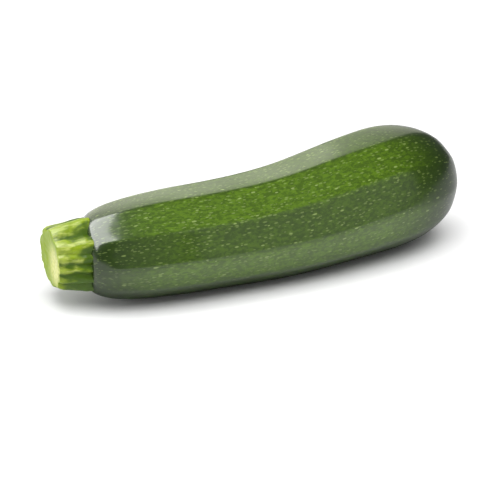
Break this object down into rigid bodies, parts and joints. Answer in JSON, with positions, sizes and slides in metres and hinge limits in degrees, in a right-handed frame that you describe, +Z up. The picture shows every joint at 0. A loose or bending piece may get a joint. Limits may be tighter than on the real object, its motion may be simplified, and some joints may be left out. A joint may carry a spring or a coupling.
{
  "type": "courgette",
  "caption": "Whole courgette lying on its side: a speckled green fruit that bows a little and swells towards its rounded blossom end, with a short ridged stem cut across.",
  "frame": {"origin": "on the surface the courgette lies on, under the middle of its box", "axes": "+X along the courgette from the stem to the blossom end, +Z up; the fruit bows towards -Y"},
  "size_m": [0.1824, 0.0548, 0.0511],
  "materials": {
    "skin": "waxy, half-glossy vegetable skin, green with small pale flecks",
    "stem": "moist, half-matt plant stem, yellow-green"
  },
  "bodies": {
    "root": {"fruit": "skin", "stem": "stem"}
  },
  "joints": []
}
